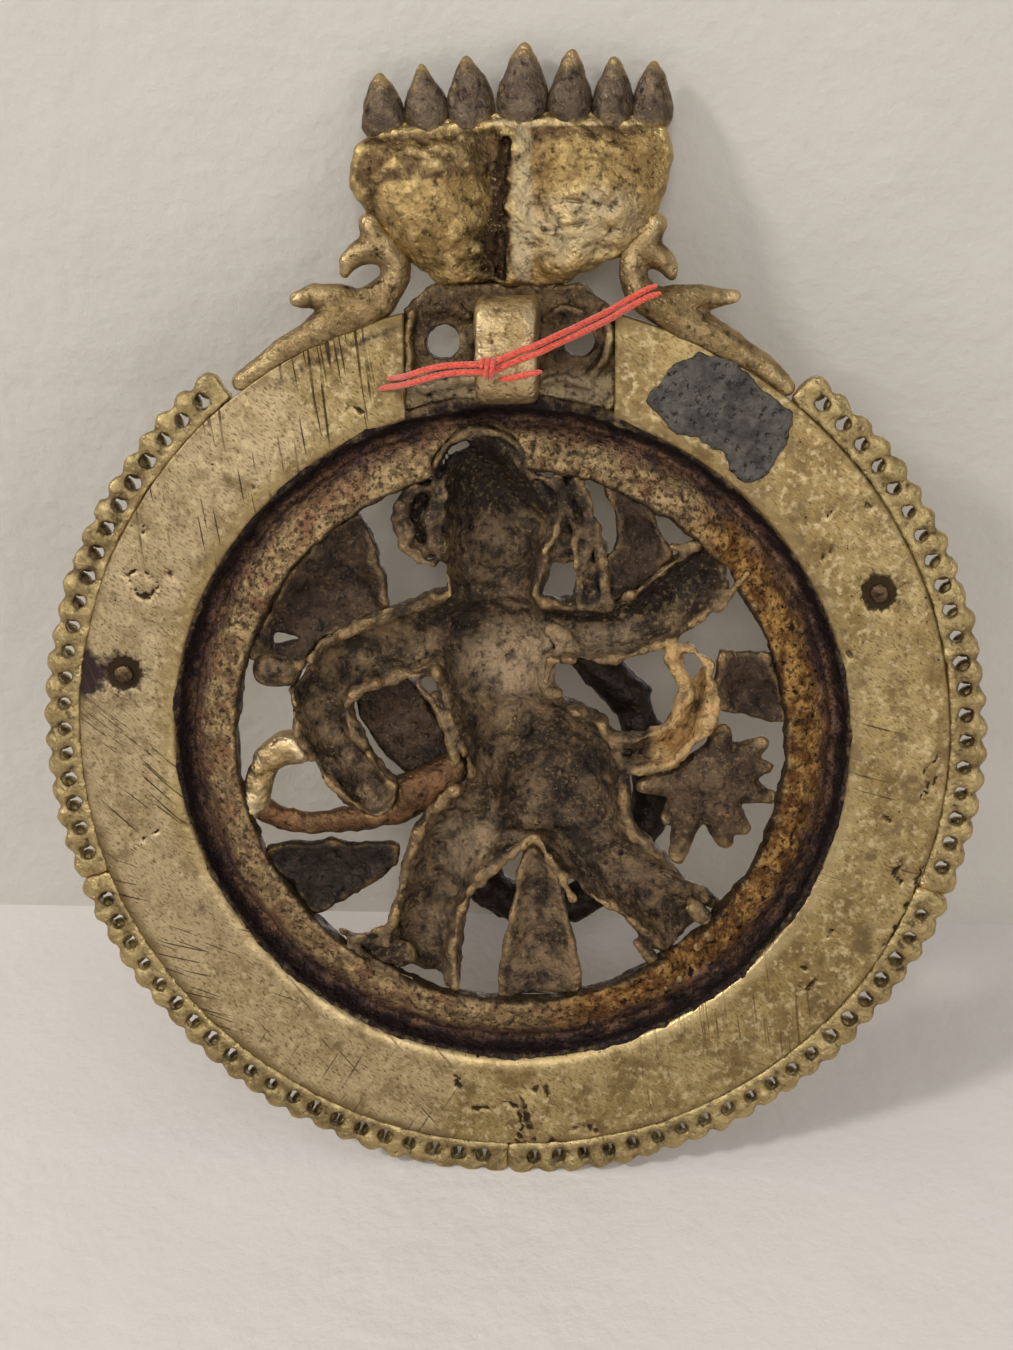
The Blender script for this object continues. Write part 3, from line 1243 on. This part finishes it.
def finish_tree(tree, geometry, source, result):
    """Ends a tree: real geometry, smooth shading and its finish."""
    real = link(tree, geometry, tree.nodes.new("GeometryNodeRealizeInstances"), 0)
    smooth = link(tree, real.outputs[0], tree.nodes.new("GeometryNodeSetShadeSmooth"), 0)
    coat = link(tree, smooth.outputs[0], tree.nodes.new("GeometryNodeSetMaterial"), 0)
    link(tree, source.outputs["Finish"], coat, "Material")
    link(tree, coat.outputs[0], result, 0)


def set_inputs(modifier, tree, values):
    """Sets a modifier's named sizes by their sockets' identifiers."""
    modifier.node_group = tree
    for item in tree.interface.items_tree:
        if item.item_type == "SOCKET" and item.in_out == "INPUT" and item.name in values:
            modifier[item.identifier] = values[item.name]


def plain_mesh(maker, name):
    """Turns an object's evaluated shape into a plain mesh of its own, and removes the maker."""
    graph = bpy.context.evaluated_depsgraph_get()
    mesh = bpy.data.meshes.new_from_object(maker.evaluated_get(graph))
    bpy.data.objects.remove(maker)
    mesh.name = name
    piece = bpy.data.objects.new(name, mesh)
    bpy.context.scene.collection.objects.link(piece)
    return piece


def spatter_tree():
    """Beads of metal scattered in clusters over the back of a surface."""
    tree, source, result = new_tree("Spatter", [
        ("Thickness", "NodeSocketFloat"), ("Crowding", "NodeSocketFloat"),
        ("Finish", "NodeSocketMaterial")])
    nodes = tree.nodes
    normal = nodes.new("GeometryNodeInputNormal")
    facing = link(tree, normal.outputs[0], nodes.new("ShaderNodeSeparateXYZ"), 0)
    backward = nodes.new("FunctionNodeCompare")
    backward.operation = "LESS_THAN"
    link(tree, facing.outputs[1], backward, 0)
    link(tree, -0.5, backward, 1)
    cloud = link(tree, nodes.new("GeometryNodeInputPosition").outputs[0],
                 nodes.new("ShaderNodeTexNoise"), "Vector")
    link(tree, 90.0, cloud, "Scale")
    cluster = maths(tree, "POWER", cloud.outputs[0], 5.0)
    crowd = maths(tree, "MULTIPLY", cluster, source.outputs["Crowding"])
    scatter = nodes.new("GeometryNodeDistributePointsOnFaces")
    link(tree, source.outputs["Geometry"], scatter, "Mesh")
    link(tree, backward.outputs[0], scatter, "Selection")
    link(tree, maths(tree, "MULTIPLY", crowd, 30.0), scatter, "Density")
    link(tree, 4, scatter, "Seed")
    ball = nodes.new("GeometryNodeMeshIcoSphere")
    link(tree, source.outputs["Thickness"], ball, "Radius")
    link(tree, 2, ball, "Subdivisions")
    placed = on_points(tree, scatter.outputs["Points"], ball.outputs[0], 0.5, 1.5, 9)
    finish_tree(tree, placed, source, result)
    return tree


def bead_tree():
    """Round beads along a circle that stands up in the ring's plane."""
    tree, source, result = new_tree("Beads", [
        ("Count", "NodeSocketInt"), ("Circle", "NodeSocketFloat"), ("Bead", "NodeSocketFloat"),
        ("First", "NodeSocketFloat"), ("Arc", "NodeSocketFloat"),
        ("Middle", "NodeSocketVector"), ("Finish", "NodeSocketMaterial")])
    nodes = tree.nodes
    asked = source.outputs
    count = maths(tree, "ADD", nodes.new("GeometryNodeInputIndex").outputs[0], 0.5)
    share = maths(tree, "DIVIDE", count, asked["Count"])
    angle = maths(tree, "ADD", maths(tree, "MULTIPLY", share, asked["Arc"]), asked["First"])
    place = nodes.new("ShaderNodeCombineXYZ")
    for key, operation in ((0, "COSINE"), (2, "SINE")):
        reach = maths(tree, "MULTIPLY", maths(tree, operation, angle, 0.0), asked["Circle"])
        link(tree, reach, place, key)
    moved = nodes.new("ShaderNodeVectorMath")
    link(tree, place.outputs[0], moved, 0)
    link(tree, asked["Middle"], moved, 1)
    line = link(tree, asked["Count"], nodes.new("GeometryNodeMeshLine"), "Count")
    spread = link(tree, line.outputs[0], nodes.new("GeometryNodeSetPosition"), "Geometry")
    link(tree, moved.outputs[0], spread, "Position")
    ball = nodes.new("GeometryNodeMeshUVSphere")
    link(tree, 16, ball, "Segments")
    link(tree, 10, ball, "Rings")
    link(tree, maths(tree, "DIVIDE", asked["Bead"], 2.0), ball, "Radius")
    placed = on_points(tree, spread.outputs[0], ball.outputs[0], 0.93, 1.03, 3)
    finish_tree(tree, placed, source, result)
    return tree


class PLAQUE_OT_beaded_rim(Operator):
    """Casts the scalloped rim in its four arcs, and sets round beads on its front"""
    bl_idname = "plaque.beaded_rim"
    bl_label = "Beaded Rim"

    def execute(self, context):
        plaque = context.scene.plaque
        ring = plaque.ring
        low, high = in_ring("rim_upper_left")
        middle_y = (low[1] + high[1]) / 2
        for k, part in enumerate(("upper_left", "lower_left", "lower_right", "upper_right")):
            rim = Casting([f"rim_{part}"], plaque.cast.fine_step)
            rim.soften(0.3)
            for i in range(ring.beads // 4):
                a, b = on_arc(ring.bead_ring - 0.1, self.turn(ring, k, i + 0.5))
                size = ring.bead / 2 * (1 + 0.06 * math.sin(i * 2.3 + k))
                rim.lump((a, middle_y - 0.1, b), size * 1.06, 0.72)
            rim.soften(0.42)
            rim.grow(0.1)
            for i in range(1, ring.beads // 4):
                rim.drill(on_arc(ring.hole_ring, self.turn(ring, k, i)), ring.hole / 2)
            piece = rim.pour(f"scalloped_rim_{part}", finish("rim"),
                             skin=((7, 0.22), (1.8, 0.22), (0.9, 0.08)), seed=40 + k)
        self.beads(ring, high[1])
        return {"FINISHED"}

    def turn(self, ring, quarter, beads):
        """Where a bead of one quarter of the rim stands, in degrees round the ring."""
        return math.degrees(ring.first_bead
                            + (quarter * ring.beads // 4 + beads) * ring.arc / ring.beads)

    def beads(self, settings, front):
        """One round bead in front of each bulge of the rim."""
        middle = RING + (0, front - 0.1, 0)
        maker = bpy.data.objects.new("bead_maker", bpy.data.meshes.new("bead_maker"))
        bpy.context.scene.collection.objects.link(maker)
        set_inputs(maker.modifiers.new("beads", "NODES"), bead_tree(), {
            "Count": settings.beads, "Circle": settings.bead_ring * MM,
            "Bead": settings.bead * MM, "First": settings.first_bead, "Arc": settings.arc,
            "Middle": (middle * MM).tolist(), "Finish": finish("rim")})
        piece = plain_mesh(maker, "front_beads")
        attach(piece, "root")
        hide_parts("rim_beads")


class PLAQUE_OT_bridge_and_eye(Operator):
    """Casts the rough bridge with its two round holes, and the smooth hanging eye on it"""
    bl_idname = "plaque.bridge_and_eye"
    bl_label = "Bridge and Eye"

    # Ragged ridges on the bridge: places given as (x, y, z) and a radius
    ridges = (
        ([(-16.6, 1.2, 60), (-16, 1.0, 64), (-16.6, 1.1, 68), (-15.6, 1.2, 71.6)], 0.9),
        ([(15.2, 1.0, 72), (16.2, 1.0, 68), (15.6, 1.1, 64.5), (13, 1.0, 61.6)], 0.9),
        ([(-14, 1.4, 59.4), (-9, 1.3, 60.6), (-5, 1.3, 61)], 1.0),
        ([(5, 1.4, 60.6), (9, 1.3, 61.4), (13, 1.3, 60)], 0.9),
        ([(5.6, 1.4, 70.4), (8.6, 1.3, 72.4), (12, 1.4, 71.6)], 0.7),
        ([(-6.4, 1.4, 71), (-9.6, 1.5, 72.6), (-13.4, 1.5, 71.8)], 0.8))

    def execute(self, context):
        step = context.scene.plaque.cast.fine_step
        bridge = Casting(["bridge"], step)
        bridge.grow(0.35)
        bridge.gnarl(3.2, 0.5, 58)
        for places, radius in self.ridges:
            bridge.strand(places, radius)
        bridge.soften(0.4)
        for mount in frame["record"]["mounts"]:
            if mount["name"].startswith("side_hole"):
                place = np.array(mount["pos_m"]) / MM - RING
                bridge.drill((place[0], place[2]), mount["dims"]["r_mm"])
        piece = bridge.pour(
            "rough_bridge", finish("bridge"), skin=((1.6, 0.2), (0.8, 0.1)), seed=60,
            notes={"pale_floor": lambda a, b, c: ease(-c, -64, -60)})
        eye = Casting(["hanging_eye"], step)
        eye.soften(0.9)
        eye.grow(0.12)
        piece = eye.pour("strap_eye", finish("gold"), skin=((5, 0.16), (1.5, 0.05)), seed=64)
        return {"FINISHED"}


class PLAQUE_OT_hood(Operator):
    """Casts the cobra hood in one, with its deep fold and its cracks, and seven heads"""
    bl_idname = "plaque.hood"
    bl_label = "Hood"

    # Runs along the deep fold, the lip and the edges, as places (x, y, z)
    fold = [(-0.4, 0.5, 98), (-1.3, 0.2, 93), (-1.6, 0, 88), (-1.3, 0, 83), (-1.4, 0.4, 77.5)]
    lip = [(4.4, 1.2, 77.2), (8.6, 0.7, 78.2), (13.6, 0.6, 79.8), (18, 0.8, 82), (21.6, 1, 85.4)]
    right_edge = [(21.6, 1, 85.4), (23.6, 1.1, 91), (24.6, 1.2, 96), (24, 1.3, 99.4)]
    left_edge = [(-12, 1.4, 78.4), (-17.6, 1.2, 83), (-21.8, 1.1, 87.6), (-24.2, 1.2, 92.4),
                 (-23.4, 1.3, 97)]
    pits = 14                     # down the fold
    # Cracks as places (x, y, z) along each, and a radius
    cracks = (
        ([(-19, 0.4, 91.4), (-16, -0.6, 92.6), (-13, -1, 92.2), (-10, -1, 93.6), (-6.4, -0.4, 93)],
         0.3),
        ([(10.2, -0.6, 99), (10.6, -0.9, 96.8), (9.8, -1.1, 95)], 0.3),
        ([(6, -0.6, 96.4), (9, -1, 97.2), (11.4, -1, 96.6)], 0.22),
        ([(5.2, -1, 88), (9, -1.6, 89), (14, -1.6, 88.4), (18.8, -1, 89.2)], 0.25),
        ([(7, -1.2, 84.4), (12, -1.2, 85.4), (17, -0.8, 84.6)], 0.25))

    def execute(self, context):
        step = context.scene.plaque.cast.fine_step
        hood = Casting(["hood_left", "hood_right", "hood_spine"], step)
        hood.grow(0.3)
        hood.strand([(2.2, 1.2, 99), (2.6, 1.1, 92), (2.6, 1.1, 85), (2.6, 1.4, 77.5)], 1.6)
        for edge in (self.right_edge, self.left_edge):
            hood.strand(edge, 1.25)
        hood.soften(0.75)
        hood.gnarl(7, 0.5, 70)
        hood.gnarl(2.2, 0.3, 71)
        heads = [in_ring(node) for node in COBRAS]
        seats = [((low[0] + high[0]) / 2, (low[1] + high[1]) / 2, low[2]) for low, high in heads]
        for a, b in zip(seats[:-1], seats[1:]):
            hood.strand([(a[0], a[1] - 1.2, a[2] + 0.2), (b[0], b[1] - 1.2, b[2] + 0.2)], 1.2)
            hood.lump(((a[0] + b[0]) / 2, a[1] - 0.4, (a[2] + b[2]) / 2 + 1.2), 1.25)
        hood.strand(self.lip, 0.75)
        hood.strand([(a - 0.5, b - 3, c) for a, b, c in self.fold], 2.6, sunk=True)
        hood.strand(self.fold, 0.8, sunk=True)
        for k in range(self.pits):
            place = (-1.6 + 0.9 * math.sin(k * 2.1), 0.2, 97 - 20 * (k / (self.pits - 1)))
            hood.pit(place, 0.8 + 0.35 * math.sin(k * 3.7))
        for places, radius in self.cracks:
            hood.strand(places, radius + 0.1, sunk=True)
        hood.soften(0.26)
        piece = hood.pour("cobra_hood", finish("hood"), skin=((2.2, 0.16), (0.9, 0.09)), seed=73,
                          notes={"brown_top": self.brown_top, "silvery": self.silvery,
                                 "dark_fold": self.dark_fold})
        for k, node in enumerate(COBRAS):
            head = Casting([node], step)
            head.grow(0.55)
            head.soften(0.5)
            piece = head.pour(f"{node}_cast", finish("cobra"),
                              skin=((4, 0.3), (1.3, 0.12)), seed=80 + k)
        return {"FINISHED"}

    def brown_top(self, x, y, z):
        """The top and the far left have gone brown."""
        slope = z - 0.06 * (x + 3)
        brown = ease(slope, 92, 93.8) * ease(-x, 1, 3) + ease(slope, 96, 99) + ease(-x, 19, 23)
        return 1.25 * np.clip(brown, 0, 1)

    def silvery(self, x, y, z):
        """The right lobe, its inner edge and the rims of the heads' seats are paler."""
        middle = np.exp(-((x - 13) / 11) ** 2 - ((z - 85) / 6.5) ** 2)
        return np.clip(middle + 0.9 * np.exp(-((x - 2) / 1.6) ** 2) + ease(z, 99.8, 100.8), 0, 1)

    def dark_fold(self, x, y, z):
        """Soot lies along the fold and below it."""
        deep = np.exp(-(near_line(x, z, [(a, c) for a, _, c in self.fold]) / 1.5) ** 2)
        below = np.exp(-((x + 4) / 3.2) ** 2) * ease(-z, -90, -80)
        return np.clip(deep * 1.2 + below, 0, 1)


class PLAQUE_OT_birds(Operator):
    """Casts the smooth long-necked birds beside the hood"""
    bl_idname = "plaque.birds"
    bl_label = "Birds"

    def execute(self, context):
        step = context.scene.plaque.cast.fine_step
        for side in ("left", "right"):
            bird = Casting([f"bird_{side}"], step)
            bird.grow(0.5)
            bird.soften(0.5)
            piece = bird.pour(f"cast_bird_{side}", finish("bird"),
                              skin=((5, 0.3), (1.6, 0.12)), seed=90)
        return {"FINISHED"}


class PLAQUE_OT_figure(Operator):
    """Casts the hollow-backed dancer in one, with thick torn back rims"""
    bl_idname = "plaque.figure"
    bl_label = "Figure"

    # Torn rims on the back edges, and fills between the castings: places as (x, y, z), a radius
    rims = (
        ([(27, 1.6, 33.8), (32, 1, 34.6), (36.6, 0.7, 35.8), (39.4, 0.6, 36.4)], 0.85),
        ([(34.6, 1.4, 23.6), (38, 0.9, 28), (40.8, 0.6, 32.4)], 0.85),
        ([(22.4, 2.2, -36), (26, 2, -39.6), (29, 2, -42)], 1.1),
        ([(31.6, 2.4, -28.6), (35.4, 2, -32.6)], 1.2),
        ([(-19.4, 1, -29), (-20.4, 1, -33.4), (-25, 0.9, -34.8), (-28, 0.8, -36.4)], 0.9),
        ([(-27.4, 1.4, -38), (-23, 1.2, -41.4), (-17.6, 1.2, -43.8)], 1.5),
        ([(-6.6, 1.8, -26.4), (-1.4, 1.5, -21.4), (3.4, 1.3, -17.2), (4.8, 1.2, -16.8),
          (7.6, 1.3, -21.6), (11, 1.5, -27.6)], 0.85),
        ([(-15.4, 2.2, 9.6), (-12, 2.2, 5), (-10, 2.2, 0.4), (-9.4, 2.2, -4)], 0.9),
        ([(-29, 2.8, 18), (-23, 2.8, 20.8), (-17.6, 2.8, 22.6), (-12, 2.8, 24.6)], 1.1),
        ([(5.4, 1.4, 45), (8, 1.6, 43.4), (8.8, 1.8, 39.6), (7.6, 2, 35.6), (5.8, 2, 32.6)], 0.8),
        ([(10.6, 1.8, 44), (12.4, 2, 39.6), (13, 2, 34), (12, 2, 28.4)], 0.9),
        ([(-12.4, 1.6, 43.8), (-16.2, 1.8, 42.2), (-18, 2, 39), (-16.6, 2.2, 36), (-17.6, 2, 33.4),
          (-15.6, 2, 31.4), (-12.6, 2, 30.4)], 0.9),
        ([(6.4, 2.6, 8.4), (8.2, 2.4, 8.6)], 1.1))
    fills = (
        ([(11.4, 3.6, 43), (11.8, 3.6, 37), (12.4, 3.4, 31), (13.8, 3, 25.6)], 1.7),
        ([(8.2, 4.6, 41), (8.2, 4.6, 36), (9.2, 4.6, 32.4)], 2.2),
        ([(-14.6, 6.4, 40.6), (-14.4, 6.6, 37), (-14.4, 6.4, 33.6)], 2.9),
        ([(10.6, 6.4, 43), (10.6, 6.8, 38), (10.2, 6.6, 32.6)], 2.2),
        ([(7.6, 6, 18.6), (9.4, 5.6, 16.4)], 2.2),
        ([(-24.4, 4.6, -37.4), (-19, 4.6, -40)], 2.6), ([(-12.6, 8, 6), (-11.4, 8, 0)], 1.8))

    # Ridges and hollows on the inside of the casting: places, a radius and whether it is sunk
    folds = (
        ([(-9, 12.4, 34), (-4, 12.8, 31.6), (1, 12.4, 33)], 1.2, False),
        ([(-10, 11, 41), (-6, 12.6, 38.4), (-1, 12.4, 39.4), (3, 11.4, 37)], 1.0, False),
        ([(-8, 9.5, 28.4), (-4, 10, 27.2), (1, 9.5, 28)], 1.1, False),
        ([(-8, 12.6, 12), (-1, 13.8, 10.4), (5, 12.8, 12.4)], 1.3, False),
        ([(-4, 14, -3), (3, 14.2, -5), (10, 13.4, -3)], 1.4, False),
        ([(0, 13.6, -9), (3.4, 13.8, -13)], 1.2, False),
        ([(-16, 8.6, 19), (-9, 10.4, 17.6), (-3, 12, 18.4)], 1.1, False),
        ([(12, 9.4, 19.4), (19, 8.6, 20), (26, 7.6, 23)], 1.0, False))

    def execute(self, context):
        step = context.scene.plaque.cast.figure_step
        dancer = Casting(FIGURE, step, margin=5)
        back = ease(-dancer.y, -4.5, -2)
        dancer.grow(0.3 - 0.6 * back)
        for node in ("side_bun", "hair_lock", "crescent_arm"):
            dancer.add(dancer.node_field(node) - 0.6)
        dancer.soften(0.4)
        for places, radius, sunk in self.folds:
            dancer.strand(places, radius, sunk=sunk, flat=0.9)
        for places, radius in self.fills:
            dancer.strand(places, radius, flat=0.6)
        dancer.gnarl(6, 0.6, 99)
        dancer.gnarl(2.6, 0.38, 97)
        dancer.gnarl(1.5, 0.34, 98, back)
        turns = np.radians(np.linspace(8, 172, 15))
        for depth, radius in ((0.6, 0.85), (2, 0.8), (3.4, 0.8), (4.8, 0.8)):
            dancer.strand([(-4.4 + 8.3 * math.cos(t), depth, 44.2 + 8.3 * math.sin(t))
                           for t in turns], radius)
        for places, radius in self.rims:
            dancer.strand(places, radius)
        dancer.rag(0.4, 1.0, 2.2, 100)
        dancer.soften(0.3)
        piece = dancer.pour(
            "hollow_dancer", finish("figure"), skin=((4, 0.4), (2, 0.36), (0.9, 0.18)), seed=101,
            notes={"dusty": self.dusty, "shadowed": self.shadowed,
                   "golden": lambda a, b, c: ease(a, 22, 26) * ease(-c, -20, -16)
                   * ease(c, -6, -2)})
        return {"FINISHED"}

    def dusty(self, x, y, z):
        """The torso and the thighs are paler than the rest."""
        return (0.95 * np.exp(-((x - 2) / 11) ** 2 - ((z - 13) / 8) ** 2)
                + 0.6 * round_spot(x, z, (-18, 4), 8) + 0.6 * round_spot(x, z, (-8, -20), 9)
                + 0.55 * round_spot(x, z, (19, 19), 6) + 0.5 * round_spot(x, z, (-3, 33), 4)
                + 0.5 * round_spot(x, z, (-13, -36), 6)) * ease(y, 1, 4)

    def shadowed(self, x, y, z):
        """Soot lies in the head, under the raised arm and at the shoulder."""
        return (ease(z, 36, 42) + 0.9 * round_spot(x, z, (17, 25.6), 5)
                + ease(-near_line(x, z, ((12, 23), (24, 25), (32, 30))), -4.5, -2)
                + 0.8 * round_spot(x, z, (-9, 22), 6) + 0.4 * ease(y, 9, 14)
                + 0.7 * round_spot(x, z, (14, -5), 5) + 0.6 * round_spot(x, z, (-26, -36), 6))


class PLAQUE_OT_openwork(Operator):
    """Casts the leaves, scarf, cloths, flower and garland round the dancer"""
    bl_idname = "plaque.openwork"
    bl_label = "Openwork"

    def execute(self, context):
        step = context.scene.plaque.cast.fine_step
        parts = (
            ("flame_leaf", "flame_leaf_sheet", "leaf", "cast_brown"),
            ("hair_fan", "hair_fan_sheet", "leaf", "cast_brown"),
            ("front_arm_left", "front_arm_cast", "leaf", "cast_brown"),
            ("elbow_knob", "elbow_knob_cast", "figure", "cast_brown"),
            ("centre_cloth", "centre_cloth_panel", "figure", "cast_brown"),
            ("scarf_loop", "scarf_loop_cast", "gold", "worn_brass"),
            ("scarf_stem", "scarf_stem_cast", "umber", "dark_brass"),
            ("cloth_left", "side_cloth_sheet", "black", "dark_brass"),
            ("ribbon_right", "ribbon_sheet", "leaf", "cast_brown"),
            ("flower", "spiked_flower", "flower", "cast_brown"),
            ("garland", "front_garland", "black", "dark_brass"),
        )
        for k, (node, name, look, slot) in enumerate(parts):
            part = Casting([node], step)
            if look in ("leaf", "black"):
                part.warp(3.5, 0.5, 115 + k)
            part.grow(0.25 if node == "flower" else 0.5)
            part.gnarl(3, 0.35, 110 + k)
            part.soften(0.3 if node == "flower" else 0.42)
            piece = part.pour(name, finish(look), skin=((4, 0.3), (1.4, 0.18)), seed=120 + k)
        return {"FINISHED"}


class PLAQUE_OT_rivets_and_patch(Operator):
    """Sets the two rivets and the grey solder patch on the plate"""
    bl_idname = "plaque.rivets_and_patch"
    bl_label = "Rivets and Patch"

    # Places where the brass shows through the solder: x, z and a radius
    bare = ((33.4, 48.4, 1.7), (31.6, 47.4, 1.1), (24.4, 52.8, 0.9))

    def execute(self, context):
        steps = context.scene.plaque.cast
        rivets = Casting(["rivets"], steps.fine_step, margin=1.5)
        rivets.soften(0.3)
        piece = rivets.pour("riveted_heads", finish("rivet"), skin=((1.6, 0.15),), seed=150)
        patch = Casting(["solder_patch"], steps.patch_step)
        patch.warp(4.5, 1.1, 151)
        patch.grow(0.12)
        for a, b, radius in self.bare:
            patch.drill((a, b), radius)
        patch.soften(0.24)
        piece = patch.pour("solder_lump", finish("solder"),
                           skin=((2.4, 0.14), (0.9, 0.14)), seed=155)
        return {"FINISHED"}


# ------------------------------------------------------------------- add-on

OPERATORS = (
    PLAQUE_OT_stage, PLAQUE_OT_thread, PLAQUE_OT_ring_plate, PLAQUE_OT_moulding,
    PLAQUE_OT_beaded_rim, PLAQUE_OT_bridge_and_eye, PLAQUE_OT_hood, PLAQUE_OT_birds,
    PLAQUE_OT_figure, PLAQUE_OT_openwork, PLAQUE_OT_rivets_and_patch,
)
GROUPS = (ThreadSettings, RingSettings, CastSettings, StageSettings, PlaqueSettings)


class PLAQUE_PT_panel(Panel):
    """Lists the plaque's settings and the operators that make it"""
    bl_label = "Brass Plaque"
    bl_idname = "PLAQUE_PT_panel"
    bl_space_type = "VIEW_3D"
    bl_region_type = "UI"
    bl_category = "Plaque"

    def draw(self, context):
        plaque = context.scene.plaque
        for title, group in (("Thread", plaque.thread), ("Ring", plaque.ring),
                             ("Casting", plaque.cast), ("Stage", plaque.stage)):
            box = self.layout.box()
            box.label(text=title)
            for key in group.__annotations__:
                box.prop(group, key)
        for made in OPERATORS:
            self.layout.operator(made.bl_idname)


def register():
    for made in (*GROUPS, *OPERATORS, PLAQUE_PT_panel):
        bpy.utils.register_class(made)
    bpy.types.Scene.plaque = PointerProperty(type=PlaqueSettings)


def unregister():
    del bpy.types.Scene.plaque
    for made in reversed((*GROUPS, *OPERATORS, PLAQUE_PT_panel)):
        bpy.utils.unregister_class(made)


def main():
    """Makes the whole plaque and keeps its measured size."""
    register()
    for made in OPERATORS:
        group, name = made.bl_idname.split(".")
        getattr(getattr(bpy.ops, group), name)()


if __name__ == "__main__":
    main()
